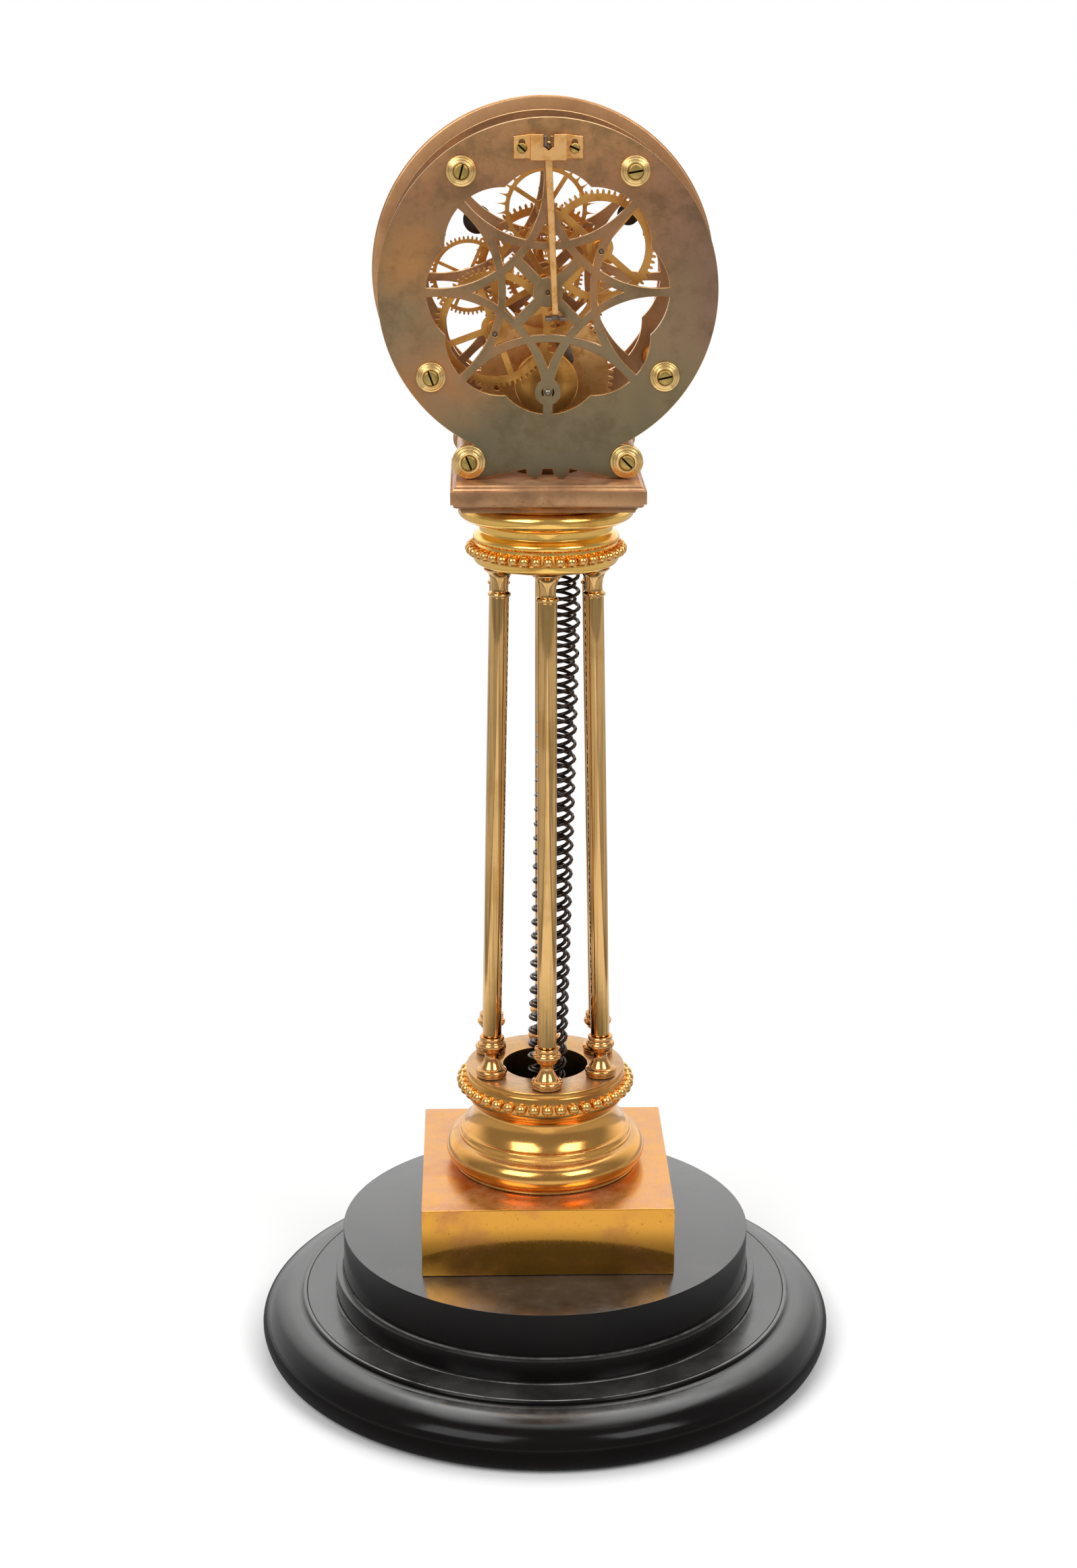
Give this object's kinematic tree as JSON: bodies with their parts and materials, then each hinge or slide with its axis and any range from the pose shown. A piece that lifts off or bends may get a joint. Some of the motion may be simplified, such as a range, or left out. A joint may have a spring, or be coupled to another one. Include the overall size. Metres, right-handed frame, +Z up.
{
  "type": "skeleton clock",
  "caption": "Skeleton clock on leaning brass columns over a gilt socle and a round black base, driven by a hanging coil spring.",
  "frame": {"origin": "middle of the underside of the base", "axes": "+Z up, -Y towards the back plate that the picture shows, +Y towards the dial, +X to the right seen from the back"},
  "size_m": [0.2782, 0.2798, 0.6012],
  "materials": {
    "ebony": "ebonised wood, glossy black with dust in the grooves",
    "gilt": "polished gilt with coppery patches",
    "shaft_brass": "satin brass with long reflections",
    "bronze": "coppery brown bronze, satin",
    "plate_brass": "green-grey bronze with brown patina and bright edges",
    "wheel_brass": "polished golden brass",
    "steel": "worn polished steel",
    "black_steel": "blackened steel",
    "gut": "twisted gut line"
  },
  "bodies": {
    "frame": {"base_moulding": "ebony", "base_drum": "ebony", "plinth": "gilt", "socle": "gilt", "column_foot_1": "gilt", "column_foot_2": "gilt", "column_foot_3": "gilt", "column_foot_4": "gilt", "column_foot_5": "gilt", "column_foot_6": "gilt", "column_shaft_1": "shaft_brass", "column_shaft_2": "shaft_brass", "column_shaft_3": "shaft_brass", "column_shaft_4": "shaft_brass", "column_shaft_5": "shaft_brass", "column_shaft_6": "shaft_brass", "capital": "gilt", "movement_table": "bronze", "back_plate": "plate_brass", "front_plate": "bronze", "pillar_1": "wheel_brass", "pillar_2": "wheel_brass", "pillar_3": "wheel_brass", "pillar_4": "wheel_brass", "pillar_5": "bronze", "pillar_6": "bronze", "pillar_screw_1": "gilt", "pillar_screw_2": "gilt", "pillar_screw_3": "gilt", "pillar_screw_4": "gilt", "pillar_screw_5": "gilt", "pillar_screw_6": "gilt", "back_cock": "wheel_brass", "chapter_ring": "bronze", "spring_anchor": "steel", "drive_spring": "black_steel", "drive_line": "gut"},
    "centre": {"centre_arbor": "steel", "centre_wheel": "wheel_brass", "cannon_wheel": "wheel_brass", "minute_hand": "black_steel"},
    "intermediate": {"intermediate_arbor": "steel", "intermediate_wheel": "wheel_brass"},
    "great": {"great_wheel": "wheel_brass"},
    "third": {"third_arbor": "steel", "third_wheel": "wheel_brass"},
    "escape": {"escape_arbor": "steel", "escape_wheel": "wheel_brass"},
    "minute_work": {"minute_wheel": "wheel_brass"},
    "hour": {"hour_wheel": "wheel_brass", "hour_hand": "black_steel"},
    "pallet": {"pallets": "steel", "crutch": "shaft_brass", "crutch_fork": "steel"},
    "drum": {"winding_arbor": "steel", "line_drum": "wheel_brass", "ratchet_wheel": "steel"},
    "hook": {"spring_hook": "steel"},
    "click_lever": {"click": "steel"}
  },
  "joints": [
    {"name": "centre_turn", "type": "hinge", "parent": "frame", "child": "centre", "pos_m": [0, 0.006, 0.52114], "axis": [0, -1, 0], "continuous": true},
    {"name": "intermediate_turn", "type": "hinge", "parent": "frame", "child": "intermediate", "pos_m": [-0.02339, 0.006, 0.50299], "axis": [0, -1, 0], "continuous": true},
    {"name": "great_turn", "type": "hinge", "parent": "frame", "child": "great", "pos_m": [0, 0.006, 0.47724], "axis": [0, -1, 0], "continuous": true},
    {"name": "third_turn", "type": "hinge", "parent": "frame", "child": "third", "pos_m": [0.02341, 0.006, 0.53884], "axis": [0, -1, 0], "continuous": true},
    {"name": "escape_turn", "type": "hinge", "parent": "frame", "child": "escape", "pos_m": [0, 0.006, 0.55424], "axis": [0, -1, 0], "continuous": true},
    {"name": "minute_wheel_turn", "type": "hinge", "parent": "frame", "child": "minute_work", "pos_m": [-0.0351, 0.045, 0.52114], "axis": [0, -1, 0], "continuous": true},
    {"name": "hour_turn", "type": "hinge", "parent": "frame", "child": "hour", "pos_m": [0, 0.05, 0.52114], "axis": [0, -1, 0], "continuous": true},
    {"name": "pallet_swing", "type": "hinge", "parent": "frame", "child": "pallet", "pos_m": [0, 0.006, 0.58374], "axis": [0, -1, 0], "range_deg": [-2.5, 2.5]},
    {"name": "drum_wind", "type": "hinge", "parent": "frame", "child": "drum", "pos_m": [0, 0.006, 0.47724], "axis": [0, 1, 0], "range_deg": [0, 720]},
    {"name": "hook_slide", "type": "slide", "parent": "frame", "child": "hook", "axis": [0, 0, 1], "range_m": [-0.107, 0], "deforming": ["drive_spring", "drive_line"]},
    {"name": "click_lift", "type": "hinge", "parent": "great", "child": "click_lever", "pos_m": [0.00798, 0.0218, 0.49224], "axis": [0, -1, 0], "range_deg": [0, 15]}
  ],
  "couplings": [
    {"joint": "intermediate_turn", "follows": "centre_turn", "ratio": -0.125},
    {"joint": "great_turn", "follows": "centre_turn", "ratio": 0.015625},
    {"joint": "third_turn", "follows": "centre_turn", "ratio": -8},
    {"joint": "escape_turn", "follows": "centre_turn", "ratio": 60},
    {"joint": "minute_wheel_turn", "follows": "centre_turn", "ratio": -1},
    {"joint": "hour_turn", "follows": "centre_turn", "ratio": 0.083333},
    {"joint": "hook_slide", "follows": "drum_wind", "m_per_rad": -0.0085}
  ]
}
